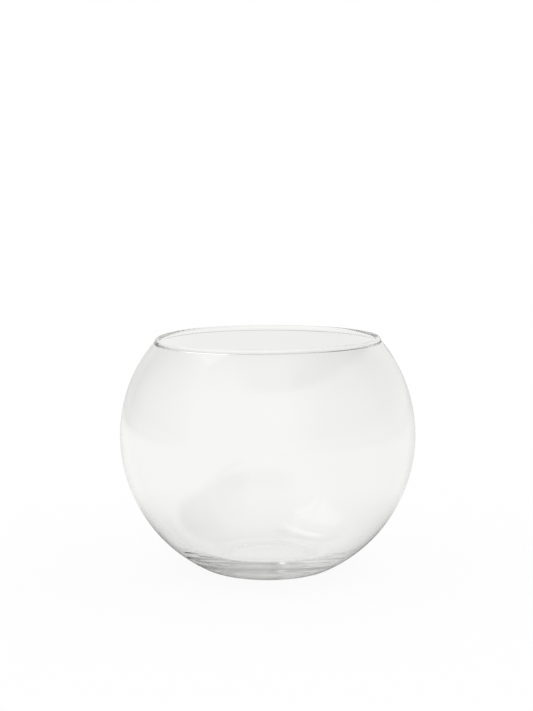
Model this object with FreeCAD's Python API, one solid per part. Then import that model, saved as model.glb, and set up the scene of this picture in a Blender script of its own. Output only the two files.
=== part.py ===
"""Rose bowl vase: one piece of clear glass, blown to a ball and cut open at the top.

Millimetres, +Z up. The origin is the middle of the foot, on the surface that the bowl stands on.
The bowl is a solid of revolution: one closed half-section of tangent arcs, turned about +Z.
"""

import FreeCAD, Part

import math
import os

# Outside of the ball, and the foot that it stands on
BALL_DIAMETER = 152.0
FOOT_RADIUS = 25.0  # outer edge of the flat standing ring
HEEL_RADIUS = 20.5  # roll of glass from the standing ring up into the ball
RING_WIDTH = 3.0  # flat of the standing ring
RING_ROUNDING = 14.0  # curve from the standing ring up into the hollow inside it
PUNT_DEPTH = 0.4  # shallow hollow under the floor, inside the standing ring

# Mouth, and the fire-polished rim round it
MOUTH_DIAMETER = 110.0  # clear opening inside the rim
BEAD_RADIUS = 1.45  # the melted rim draws up into a bead, thicker than the wall below it
NECK_RADIUS = 2.2  # hollow fillets that lead the wall into the bead

# Thickness of the glass
WALL_AT_BELLY = 2.4  # at the widest height
WALL_AT_MOUTH = 1.7  # just under the bead
FLOOR_THICKNESS = 6.5  # on the axis, over the punt

# Inside of the floor
DISH_RADIUS = 1500.0  # the floor is all but flat, dished by a hair
INNER_HEEL_RADIUS = 42.0  # sweep from the floor up into the wall

FULL_TURN = 360.0  # degrees
MILLILITRE = 1000.0  # cubic millimetres


def point(across, height):
    """A point of the half-section: distance from the axis, and height over the table."""
    return FreeCAD.Vector(across, 0, height)


def along(start, through, length):
    """The point at a length from start, on the line towards another point."""
    return start + (through - start).normalize() * length


def crossings(first, first_radius, second, second_radius):
    """The two points that lie on both of two circles."""
    gap = first.distanceToPoint(second)
    foot = (gap**2 + first_radius**2 - second_radius**2) / (2 * gap)
    off = math.sqrt(first_radius**2 - foot**2)
    way = (second - first).normalize()
    square = point(way.z, -way.x)
    return [first + way * foot + square * side for side in (off, -off)]


def lower(points):
    """The point nearer the table."""
    return min(points, key=lambda p: p.z)


def outer(points):
    """The point further from the axis."""
    return max(points, key=lambda p: p.x)


def arc(centre, start, end):
    """The shorter arc about a centre from one point to another."""
    crown = along(centre, (start + end) / 2, centre.distanceToPoint(start))
    return Part.Arc(start, crown, end).toShape()


def line(start, end):
    return Part.makeLine(start, end)


# Outside: table, standing ring, heel, ball
ball_radius = BALL_DIAMETER / 2
heel_centre = point(FOOT_RADIUS, HEEL_RADIUS)
ball_height = HEEL_RADIUS + math.sqrt((ball_radius - HEEL_RADIUS) ** 2 - FOOT_RADIUS**2)
ball_centre = point(0, ball_height)
heel_top = along(ball_centre, heel_centre, ball_radius)
ring_outer = point(FOOT_RADIUS, 0)
ring_inner = point(FOOT_RADIUS - RING_WIDTH, 0)

# Underside: a shallow dome, tangent to the curve that comes up from the standing ring
punt_top = point(0, PUNT_DEPTH)
punt_radius = (ring_inner.x**2 + PUNT_DEPTH**2) / (2 * PUNT_DEPTH) - RING_ROUNDING
punt_centre = point(0, PUNT_DEPTH - punt_radius)
rounding_centre = point(ring_inner.x, RING_ROUNDING)
punt_edge = along(punt_centre, rounding_centre, punt_radius)

# Rim: a bead that sits on the middle of the wall
bead_across = MOUTH_DIAMETER / 2 + BEAD_RADIUS
middle_of_wall = ball_radius - WALL_AT_MOUTH / 2
bead_centre = point(bead_across, ball_height + math.sqrt(middle_of_wall**2 - bead_across**2))
bead_top = along(ball_centre, bead_centre, middle_of_wall + BEAD_RADIUS)

# Inside wall: a smaller ball, set higher than the outside one, so that the glass thins towards the mouth
thinning = WALL_AT_BELLY - WALL_AT_MOUTH
mouth_sine = (bead_centre.z - ball_height) / middle_of_wall
inside_radius = ball_radius - WALL_AT_BELLY
inside_centre = point(0, ball_height + thinning / mouth_sine)

# Inside floor: a dish, and the sweep that is tangent to the dish and to the wall
floor_middle = point(0, PUNT_DEPTH + FLOOR_THICKNESS)
dish_centre = point(0, floor_middle.z + DISH_RADIUS)
sweep_centre = outer(
    crossings(inside_centre, inside_radius - INNER_HEEL_RADIUS, dish_centre, DISH_RADIUS - INNER_HEEL_RADIUS)
)
sweep_top = along(inside_centre, sweep_centre, inside_radius)
sweep_foot = along(dish_centre, sweep_centre, DISH_RADIUS)

# Fillets under the bead, outside and inside, each tangent to the wall and to the bead
bead_reach = BEAD_RADIUS + NECK_RADIUS
outside_neck = lower(crossings(ball_centre, ball_radius + NECK_RADIUS, bead_centre, bead_reach))
inside_neck = lower(crossings(inside_centre, inside_radius - NECK_RADIUS, bead_centre, bead_reach))
outside_wall_top = along(ball_centre, outside_neck, ball_radius)
inside_wall_top = along(inside_centre, inside_neck, inside_radius)
bead_outside = along(bead_centre, outside_neck, BEAD_RADIUS)
bead_inside = along(bead_centre, inside_neck, BEAD_RADIUS)


def half_section():
    """The glass on one side of the axis, as a closed wire."""
    outside = [
        arc(punt_centre, punt_top, punt_edge),
        arc(rounding_centre, punt_edge, ring_inner),
        line(ring_inner, ring_outer),
        arc(heel_centre, ring_outer, heel_top),
        arc(ball_centre, heel_top, outside_wall_top),
        arc(outside_neck, outside_wall_top, bead_outside),
    ]
    rim = [Part.Arc(bead_outside, bead_top, bead_inside).toShape()]
    inside = [
        arc(inside_neck, bead_inside, inside_wall_top),
        arc(inside_centre, inside_wall_top, sweep_top),
        arc(sweep_centre, sweep_top, sweep_foot),
        arc(dish_centre, sweep_foot, floor_middle),
        line(floor_middle, punt_top),
    ]
    return Part.Wire(outside + rim + inside)


def glass_bowl():
    """The whole vase: wall, floor, foot and rim are one piece of glass."""
    section = Part.Face(half_section())
    return section.revolve(point(0, 0), FreeCAD.Vector(0, 0, 1), FULL_TURN)


bowl = glass_bowl()
box = bowl.BoundBox
print("valid", bowl.isValid(), "solids", len(bowl.Solids), "glass", round(bowl.Volume / MILLILITRE, 1), "ml")
print("width", round(box.XLength, 2), "height", round(box.ZLength, 2), "lowest", round(box.ZMin, 4))
os.makedirs("parts", exist_ok=True)
bowl.exportStep("parts/glass_bowl.step")
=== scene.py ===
"""A clear glass rose bowl vase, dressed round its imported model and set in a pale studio."""

import math

import bpy
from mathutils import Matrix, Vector, noise


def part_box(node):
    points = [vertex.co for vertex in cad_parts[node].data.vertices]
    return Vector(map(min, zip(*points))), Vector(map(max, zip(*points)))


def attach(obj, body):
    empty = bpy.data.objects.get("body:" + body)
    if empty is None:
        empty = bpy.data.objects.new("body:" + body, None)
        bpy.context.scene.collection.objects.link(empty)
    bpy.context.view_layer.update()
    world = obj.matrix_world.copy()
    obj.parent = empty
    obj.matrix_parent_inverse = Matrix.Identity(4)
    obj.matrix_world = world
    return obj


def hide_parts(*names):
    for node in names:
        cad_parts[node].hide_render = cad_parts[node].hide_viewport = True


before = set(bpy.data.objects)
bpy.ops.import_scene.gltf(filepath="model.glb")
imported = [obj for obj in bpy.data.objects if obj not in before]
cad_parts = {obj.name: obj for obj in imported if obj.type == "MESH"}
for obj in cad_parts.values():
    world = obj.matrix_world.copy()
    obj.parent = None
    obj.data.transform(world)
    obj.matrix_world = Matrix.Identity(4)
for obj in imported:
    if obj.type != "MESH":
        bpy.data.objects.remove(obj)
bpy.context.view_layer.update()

# The bowl. One gather of clear soda-lime glass, blown in a turning round mould, so its outside is smooth and
# its inside a little uneven. The top was cracked off and the cut edge melted with a flame, which drew it up
# into a bead that isn't quite level. The floor is thick, and the foot is a ring round a shallow hollow.
MILLIMETRE = 0.001
FOOT_RADIUS = 25.0 * MILLIMETRE
HEEL_RADIUS = 20.5 * MILLIMETRE
RING_WIDTH = 3.0 * MILLIMETRE
RING_ROUNDING = 14.0 * MILLIMETRE
PUNT_DEPTH = 0.4 * MILLIMETRE
MOUTH_RADIUS = 55.0 * MILLIMETRE
BEAD_RADIUS = 1.45 * MILLIMETRE
NECK_RADIUS = 2.2 * MILLIMETRE
WALL_AT_BELLY = 2.4 * MILLIMETRE
WALL_AT_MOUTH = 1.7 * MILLIMETRE
FLOOR_THICKNESS = 6.5 * MILLIMETRE
DISH_RADIUS = 1500.0 * MILLIMETRE
INNER_HEEL_RADIUS = 42.0 * MILLIMETRE

low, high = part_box("glass_bowl")
ball_radius = (high.x - low.x) / 2


def point(across, height):
    """A point of the half-section: distance from the axis, and height over the table."""
    return Vector((across, height))


def along(start, through, length):
    """The point at a length from start, on the line towards another point."""
    return start + (through - start).normalized() * length


def crossings(first, first_radius, second, second_radius):
    """The two points that lie on both of two circles."""
    gap = (second - first).length
    foot = (gap**2 + first_radius**2 - second_radius**2) / (2 * gap)
    off = math.sqrt(first_radius**2 - foot**2)
    way = (second - first).normalized()
    square = point(way.y, -way.x)
    return [first + way * foot + square * side for side in (off, -off)]


# Outside: standing ring, heel, ball. Underside: a shallow dome that leads into the ring by a rounding
heel_centre = point(FOOT_RADIUS, HEEL_RADIUS)
ball_height = HEEL_RADIUS + math.sqrt((ball_radius - HEEL_RADIUS) ** 2 - FOOT_RADIUS**2)
ball_centre = point(0, ball_height)
heel_top = along(ball_centre, heel_centre, ball_radius)
ring_outer = point(FOOT_RADIUS, 0)
ring_inner = point(FOOT_RADIUS - RING_WIDTH, 0)
punt_top = point(0, PUNT_DEPTH)
punt_radius = (ring_inner.x**2 + PUNT_DEPTH**2) / (2 * PUNT_DEPTH) - RING_ROUNDING
punt_centre = point(0, PUNT_DEPTH - punt_radius)
rounding_centre = point(ring_inner.x, RING_ROUNDING)
punt_edge = along(punt_centre, rounding_centre, punt_radius)

# Inside: a smaller ball, set higher so that the wall thins towards the mouth, and a sweep down to the floor
bead_across = MOUTH_RADIUS + BEAD_RADIUS
middle_of_wall = ball_radius - WALL_AT_MOUTH / 2
bead_centre = point(bead_across, ball_height + math.sqrt(middle_of_wall**2 - bead_across**2))
thinning = WALL_AT_BELLY - WALL_AT_MOUTH
mouth_sine = (bead_centre.y - ball_height) / middle_of_wall
inside_radius = ball_radius - WALL_AT_BELLY
inside_centre = point(0, ball_height + thinning / mouth_sine)
floor_middle = point(0, PUNT_DEPTH + FLOOR_THICKNESS)
dish_centre = point(0, floor_middle.y + DISH_RADIUS)
sweep_centre = max(
    crossings(inside_centre, inside_radius - INNER_HEEL_RADIUS, dish_centre, DISH_RADIUS - INNER_HEEL_RADIUS),
    key=lambda p: p.x,
)
sweep_top = along(inside_centre, sweep_centre, inside_radius)
sweep_foot = along(dish_centre, sweep_centre, DISH_RADIUS)

# Rim: hollow fillets lead the wall into the bead on both sides
bead_reach = BEAD_RADIUS + NECK_RADIUS
outside_necks = crossings(ball_centre, ball_radius + NECK_RADIUS, bead_centre, bead_reach)
inside_necks = crossings(inside_centre, inside_radius - NECK_RADIUS, bead_centre, bead_reach)
outside_neck = min(outside_necks, key=lambda p: p.y)
inside_neck = min(inside_necks, key=lambda p: p.y)
outside_wall_top = along(ball_centre, outside_neck, ball_radius)
inside_wall_top = along(inside_centre, inside_neck, inside_radius)
bead_outside = along(bead_centre, outside_neck, BEAD_RADIUS)
bead_inside = along(bead_centre, inside_neck, BEAD_RADIUS)

ARC_STEP = math.radians(2)
LEAST_ARC_STEPS = 10
RING_STEPS = 4


def arc(centre, start, end, the_long_way=False):
    """Points from start to just before end, about a centre."""
    first = math.atan2(start.y - centre.y, start.x - centre.x)
    turn = math.atan2(end.y - centre.y, end.x - centre.x) - first
    turn = (turn + math.pi) % math.tau - math.pi
    if the_long_way:
        turn -= math.copysign(math.tau, turn)
    steps = max(LEAST_ARC_STEPS, round(abs(turn) / ARC_STEP))
    radius = (start - centre).length
    angles = [first + turn * step / steps for step in range(steps)]
    return [centre + radius * point(math.cos(a), math.sin(a)) for a in angles]


outside = [
    *arc(punt_centre, punt_top, punt_edge),
    *arc(rounding_centre, punt_edge, ring_inner),
    *[ring_inner.lerp(ring_outer, step / RING_STEPS) for step in range(RING_STEPS)],
    *arc(heel_centre, ring_outer, heel_top),
    *arc(ball_centre, heel_top, outside_wall_top),
    *arc(outside_neck, outside_wall_top, bead_outside),
    *arc(bead_centre, bead_outside, bead_inside, the_long_way=True),
]
inside = [
    *arc(inside_neck, bead_inside, inside_wall_top),
    *arc(inside_centre, inside_wall_top, sweep_top),
    *arc(sweep_centre, sweep_top, sweep_foot),
    *arc(dish_centre, sweep_foot, floor_middle),
    floor_middle,
]

# How far the blown glass strays from true: the flame lets the rim down on one side, and the inside is uneven
RIM_SAG = 1.2 * MILLIMETRE
SAG_TOWARDS = math.radians(208)
SAG_POWER = 3
RIM_WAVE = 0.1 * MILLIMETRE
WAVE_COUNT = 3
WAVE_START = 3.0
UNEVEN_DEPTH = 0.10 * MILLIMETRE
UNEVEN_SIZE = 34.0 * MILLIMETRE


def sag(height, turn):
    """How far the flame let the glass down, from nothing at the belly to the most at the rim."""
    share = max(0.0, (height - ball_height) / (bead_centre.y - ball_height))
    tilt = ((1 + math.cos(turn - SAG_TOWARDS)) / 2) ** SAG_POWER
    wave = (1 + math.sin(WAVE_COUNT * turn + WAVE_START)) / 2
    return share**2 * (RIM_SAG * tilt + RIM_WAVE * wave)


def unevenness(across, height, turn):
    """How far the inside stands out or in, from nothing at the rim and on the axis."""
    spot = Vector((across * math.cos(turn), across * math.sin(turn), height))
    depth = max(0.0, (inside_neck.y - height) / (inside_neck.y - floor_middle.y))
    return UNEVEN_DEPTH * noise.noise(spot / UNEVEN_SIZE) * min(1.0, across / FOOT_RADIUS) * depth


# The section is turned about the axis. Each of its points makes a ring, and its two ends lie on the axis
TURN_STEPS = 300
section = outside + inside
places = [Vector((0, 0, section[0].y)), Vector((0, 0, section[-1].y))]
for order, spot in enumerate(section[1:-1], start=1):
    for step in range(TURN_STEPS):
        turn = math.tau * step / TURN_STEPS
        across, height = spot
        if order >= len(outside):
            across += unevenness(across, height, turn)
        places.append(Vector((across * math.cos(turn), across * math.sin(turn), height - sag(height, turn))))
faces = []
last = len(places) - TURN_STEPS
for step in range(TURN_STEPS):
    after = (step + 1) % TURN_STEPS
    faces.append((0, 2 + after, 2 + step))
    faces.append((1, last + step, last + after))
    for ring in range(2, last, TURN_STEPS):
        above = ring + TURN_STEPS
        faces.append((ring + step, ring + after, above + after, above + step))

bowl_mesh = bpy.data.meshes.new("blown_bowl")
bowl_mesh.from_pydata(places, [], faces)
bowl_mesh.validate()
bowl_mesh.shade_smooth()
bowl = bpy.data.objects.new("blown_bowl", bowl_mesh)
bpy.context.collection.objects.link(bowl)


class Shade:
    """A socket of a shader tree. Sums on it add Math nodes, and node() adds any other kind."""

    def __init__(self, tree, socket=None):
        self.tree = tree
        self.socket = socket

    def node(self, kind, settings, inputs, out=0):
        made = self.tree.nodes.new("ShaderNode" + kind)
        for name, value in settings.items():
            setattr(made, name, value)
        for name, value in inputs.items():
            if isinstance(value, Shade):
                self.tree.links.new(value.socket, made.inputs[name])
            else:
                made.inputs[name].default_value = value
        return Shade(self.tree, made.outputs[out])

    def maths(self, operation, first, second):
        return self.node("Math", {"operation": operation}, {0: first, 1: second})

    def __add__(self, other):
        return self.maths("ADD", self, other)

    def __radd__(self, other):
        return self.maths("ADD", other, self)

    def __sub__(self, other):
        return self.maths("SUBTRACT", self, other)

    def __rsub__(self, other):
        return self.maths("SUBTRACT", other, self)

    def __mul__(self, other):
        return self.maths("MULTIPLY", self, other)

    def __rmul__(self, other):
        return self.maths("MULTIPLY", other, self)

    def span(self, start, end):
        """0 up to start, 1 from end on, and a soft step between."""
        values = {"Value": self, "From Min": start, "From Max": end}
        return self.node("MapRange", {"interpolation_type": "SMOOTHSTEP"}, values)

    def axis(self, name):
        """One part of a vector."""
        return self.node("SeparateXYZ", {}, {"Vector": self}, out=name)

    def ray(self, kind):
        """1 on rays of a kind: Camera, Glossy for mirrored ones, Transmission for bent ones."""
        return self.node("LightPath", {}, {}, out="Is " + kind + " Ray")

    def into(self, name):
        """Links this socket to a named one of the shader or output that the tree ends in."""
        kinds = ("BSDF_PRINCIPLED", "BACKGROUND", "OUTPUT_MATERIAL")
        for made in self.tree.nodes:
            if made.type in kinds and name in made.inputs:
                self.tree.links.new(self.socket, made.inputs[name])


# Clear glass, with the faint grey of thick soda-lime. The surface has the slight waviness of blown glass, and
# the ring that it stands on is scuffed.
GLASS_BEND = 1.5
GLASS_GREY = (0.05, 0.04, 0.0, 1)
GREY_DENSITY = 0.7
RIPPLES_PER_METRE = 22.0
RIPPLE_DETAIL = 1.0
RIPPLE_HEIGHT = 2.0 * MILLIMETRE
RIPPLE_STRENGTH = 0.05
SCUFF_HEIGHT = 0.25 * MILLIMETRE
SCUFF_ROUGHNESS = 0.35
GRAINS_PER_METRE = 900.0
GRAIN_DETAIL = 3.0
GRAIN_SPAN = (0.45, 0.6)
clear_glass = bpy.data.materials.new("clear_soda_lime_glass")
clear_glass.use_nodes = True
glass = Shade(clear_glass.node_tree)
shader = clear_glass.node_tree.nodes["Principled BSDF"]
shader.inputs["Base Color"].default_value = (1, 1, 1, 1)
shader.inputs["IOR"].default_value = GLASS_BEND
shader.inputs["Transmission Weight"].default_value = 1.0
where = glass.node("TexCoord", {}, {}, out="Object")
ripples = glass.node("TexNoise", {}, {"Vector": where, "Scale": RIPPLES_PER_METRE, "Detail": RIPPLE_DETAIL})
ripple_values = {"Strength": RIPPLE_STRENGTH, "Distance": RIPPLE_HEIGHT, "Height": ripples}
glass.node("Bump", {}, ripple_values).into("Normal")
grit = glass.node("TexNoise", {}, {"Vector": where, "Scale": GRAINS_PER_METRE, "Detail": GRAIN_DETAIL})
scuffs = (1 - where.axis("Z").span(0, SCUFF_HEIGHT)) * grit.span(*GRAIN_SPAN)
(scuffs * SCUFF_ROUGHNESS).into("Roughness")
glass.node("VolumeAbsorption", {}, {"Color": GLASS_GREY, "Density": GREY_DENSITY}).into("Volume")
bowl_mesh.materials.append(clear_glass)

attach(bowl, "root")
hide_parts("glass_bowl")

# The table. A pale, matt board, wide enough to run out of the view. The camera sees it all but white, with
# the bowl's shadow on it. In the glass it has painted shade that greys it towards the back and the right, and
# mirrored in the glass it has a painted shadow close round the foot and painted shade out at both sides of
# the studio.
TABLE_REACH = 6.0
TABLE_GAP = 0.03 * MILLIMETRE
TABLE_WHITE = 0.95
TABLE_IN_GLASS = 0.93
CAMERA_GLOW = 0.92
WARMTH = 0.015
table_mesh = bpy.data.meshes.new("table_top")
corner_shares = [(-1, -1), (1, -1), (1, 1), (-1, 1)]
corners = [(x * TABLE_REACH, y * TABLE_REACH, -TABLE_GAP) for x, y in corner_shares]
table_mesh.from_pydata(corners, [], [(0, 1, 2, 3)])
table = bpy.data.objects.new("table_top", table_mesh)
bpy.context.collection.objects.link(table)

# How deep the painted shade is on each stretch of the board, and the distances at which that begins and is
# full, or for the painted shadow round the foot is still full and has ended
BACK_SHADE_DIM, BACK_SHADE_SPAN = 0.075, (0.5, 1.1)
SIDE_SHADE_DIM, SIDE_SHADE_SPAN = 0.03, (0.0, 0.12)
FOOT_SHADOW_DIM, FOOT_SHADOW_SPAN = 0.9, (0.06, 0.16)
RIGHT_SHADE_DIM, RIGHT_SHADE_SPAN = 0.5, (0.4, 1.2)
LEFT_SHADE_DIM, LEFT_SHADE_SPAN = 0.667, (0.5, 1.3)

# The dark sides of the studio. A direction of length 1 goes so far across and away from the camera, and a
# side begins and is full at these shares of it. It fades again towards the back, between the back shares
RIGHT_SLANT, RIGHT_SHARES = 0.2, (0.0, 0.7)
RIGHT_BACK_FADE, RIGHT_BACK_SHARES = 0.8, (0.2, 0.9)
LEFT_SLANT, LEFT_SHARES = 0.5, (0.5, 1.05)
LEFT_BACK_FADE, LEFT_BACK_SHARES = 0.45, (0.7, 0.9)


def right_side(across, away):
    """How far a direction points into the dark right side, from 0 to 1."""
    back = 1 - RIGHT_BACK_FADE * away.span(*RIGHT_BACK_SHARES)
    return (across + RIGHT_SLANT * away).span(*RIGHT_SHARES) * back


def left_side(across, away):
    """The same for the left side, which begins further out."""
    back = 1 - LEFT_BACK_FADE * away.span(*LEFT_BACK_SHARES)
    return (LEFT_SLANT * away - across).span(*LEFT_SHARES) * back


pale_board = bpy.data.materials.new("pale_board")
pale_board.use_nodes = True
board = Shade(pale_board.node_tree)
shader = pale_board.node_tree.nodes["Principled BSDF"]
shader.inputs["Roughness"].default_value = 1.0
shader.inputs["Specular IOR Level"].default_value = 0.0
shader.inputs["Emission Strength"].default_value = 1.0
bent = board.ray("Transmission")
mirrored = board.ray("Glossy") * (1 - bent)
in_glass = board.maths("MAXIMUM", board.ray("Glossy"), bent)
spot = board.node("TexCoord", {}, {}, out="Object")
from_foot = board.node("VectorMath", {"operation": "LENGTH"}, {0: spot}, out="Value")
outwards = board.node("VectorMath", {"operation": "NORMALIZE"}, {0: spot}, out="Vector")
across = outwards.axis("X")
away = outwards.axis("Y")
# Painted shadow and shade: mirrored in the glass, the board is darkened close round the foot where the bowl's
# shadow falls, and out at both sides where the studio is dark
painted_foot_shadow = FOOT_SHADOW_DIM * (1 - from_foot.span(*FOOT_SHADOW_SPAN))
painted_shade_right = RIGHT_SHADE_DIM * right_side(across, away) * from_foot.span(*RIGHT_SHADE_SPAN)
painted_shade_left = LEFT_SHADE_DIM * left_side(across, away) * from_foot.span(*LEFT_SHADE_SPAN)
dim = 1 - mirrored * (1 - (1 - painted_foot_shadow) * (1 - painted_shade_right) * (1 - painted_shade_left))
# Painted shade: in the glass the board greys towards the back and to the right of the bowl
painted_shade_far = (1 - BACK_SHADE_DIM * spot.axis("Y").span(*BACK_SHADE_SPAN)) * (1 - SIDE_SHADE_DIM * spot.axis("X").span(*SIDE_SHADE_SPAN))
to_camera = CAMERA_GLOW * board.ray("Camera")
glow = to_camera + in_glass * TABLE_IN_GLASS * painted_shade_far * dim
warm_glow = {"Red": glow, "Green": glow, "Blue": glow * (1 - WARMTH * in_glass)}
board.node("CombineColor", {}, warm_glow).into("Emission Color")
(TABLE_WHITE * (1 - to_camera - in_glass)).into("Base Color")
table_mesh.materials.append(pale_board)

# The room. Pale light from all round, white to the camera and a little less in the glass. Mirrored in the
# glass, the studio is dark beyond both sides of the backdrop. The ceiling over the right is dark too, and
# high on the left is a window, with a lit strip and a dark screen on its right.
ROOM_IN_GLASS = 0.945
BENT_DIM = 0.09
room = bpy.data.worlds.new("studio")
bpy.context.scene.world = room
room.use_nodes = True
air = Shade(room.node_tree)
look = air.node("TexCoord", {}, {}, out="Generated")
across = look.axis("X")
leftward = 0 - across
away = look.axis("Y")
rise = look.axis("Z")

# Both sides begin at the table, as dark as its own ends are there, and fade under the ceiling
RIGHT_FOOT_SHARES = (-0.2, 0.2)
LEFT_FOOT_SHARES = (-0.2, 0.1)
LEFT_DEPTH = 0.9
SIDES_TOP_SHARES = (0.6, 0.75)
SIDES_TOP_FADE = 0.5
sides_top = 1 - SIDES_TOP_FADE * rise.span(*SIDES_TOP_SHARES)
right = right_side(across, away) * rise.span(*RIGHT_FOOT_SHARES) * sides_top
left = left_side(across, away) * rise.span(*LEFT_FOOT_SHARES) * sides_top * LEFT_DEPTH

# The ceiling comes down lower at the back. It is darkest out to the right, and lighter over the bowl
CEILING_SLANT, CEILING_EDGE_SHARES = 0.3, (0.60, 0.71)
CEILING_LEFT_SHARES = (-0.5, -0.1)
CEILING_RIGHT_SHARES = (0.2, 0.42)
CEILING_MIDDLE_FADE = 0.5
OVERHEAD_SHARES = (0.76, 0.9)
OVERHEAD_FADE = 0.5
CEILING_DEPTH = 0.95
ceiling = (rise + CEILING_SLANT * air.maths("MAXIMUM", away, 0)).span(*CEILING_EDGE_SHARES)
ceiling = ceiling * across.span(*CEILING_LEFT_SHARES)
ceiling = ceiling * (1 - CEILING_MIDDLE_FADE * (1 - across.span(*CEILING_RIGHT_SHARES)))
ceiling = ceiling * (1 - OVERHEAD_FADE * rise.span(*OVERHEAD_SHARES)) * CEILING_DEPTH

# The window's right side has a slanting edge at the back and another at the front
WINDOW_LIGHT = 1.6
WINDOW_BACK_SLANT, WINDOW_BACK_SHARES = 0.24, (0.25, 0.28)
WINDOW_FRONT_SLANT, WINDOW_FRONT_SHARES = 0.2, (0.28, 0.31)
WINDOW_LEFT_SHARES = (0.60, 0.70)
WINDOW_NEAR_SHARES = (-0.18, -0.08)
WINDOW_FOOT_SHARES = (0.60, 0.66)
window = (leftward - WINDOW_BACK_SLANT * away).span(*WINDOW_BACK_SHARES)
window = window * (leftward + WINDOW_FRONT_SLANT * away).span(*WINDOW_FRONT_SHARES)
window = window * (1 - leftward.span(*WINDOW_LEFT_SHARES))
window = window * away.span(*WINDOW_NEAR_SHARES) * rise.span(*WINDOW_FOOT_SHARES)


def pane(right_shares, left_shares, near_shares, far_shares, slant=0):
    """1 on the directions overhead that lie within four soft edges, the left one of which may slant."""
    wide = leftward.span(*right_shares) * (1 - (leftward - slant * away).span(*left_shares))
    return wide * away.span(*near_shares) * (1 - away.span(*far_shares))


# The right, left, near and far edges of the lit strip and of the dark screen
STRIP_SLANT, STRIP_SHARES = 0.14, ((0.10, 0.12), (0.083, 0.103), (0.3, 0.42), (0.78, 0.86))
SCREEN_SHARES = ((0.02, 0.04), (0.08, 0.10), (0.55, 0.62), (0.88, 0.92))
strip = pane(*STRIP_SHARES, slant=STRIP_SLANT)
screen = pane(*SCREEN_SHARES)

bent = air.ray("Transmission")
mirrored = air.ray("Glossy") * (1 - bent)
in_glass = air.maths("MAXIMUM", air.ray("Glossy"), bent)
dim = (1 - mirrored * (1 - (1 - right) * (1 - left))) * (1 - ceiling) * (1 - screen)
lit = dim + air.maths("MAXIMUM", window, strip) * (WINDOW_LIGHT - dim)
light = in_glass * ROOM_IN_GLASS * (1 - BENT_DIM * bent) * lit + (1 - in_glass)
warm_light = {"Red": light, "Green": light, "Blue": light * (1 - WARMTH * in_glass)}
air.node("CombineColor", {}, warm_light).into("Color")

# The camera. It stands a little above the rim and looks down on it, well back, with a long lens. Its place is
# in shares of the ball's radius, from the ball's centre.
PITCH = math.radians(6.75)
LENS = 89.55
SENSOR = 36.0
DISTANCE_SHARE = 12.0
RISE_SHARE = 0.5341
SIDE_SHARE = -0.0081
camera_data = bpy.data.cameras.new("camera")
camera_data.sensor_width = SENSOR
camera_data.lens = LENS
camera = bpy.data.objects.new("camera", camera_data)
bpy.context.collection.objects.link(camera)
forward = Vector((0, math.cos(PITCH), -math.sin(PITCH)))
upward = Vector((0, math.sin(PITCH), math.cos(PITCH)))
stand = Vector((SIDE_SHARE, 0, 0)) - forward * DISTANCE_SHARE + upward * RISE_SHARE
camera.location = Vector((0, 0, ball_height)) + stand * ball_radius
camera.rotation_euler = (math.pi / 2 - PITCH, 0, 0)
bpy.context.scene.camera = camera
bpy.context.scene.view_settings.view_transform = "Standard"

# Light that enters the bead or the floor is led round inside the glass many times before it leaves
GLASS_TURNS = 256
cycles = bpy.context.scene.cycles
cycles.max_bounces = GLASS_TURNS
cycles.glossy_bounces = GLASS_TURNS
cycles.transmission_bounces = GLASS_TURNS
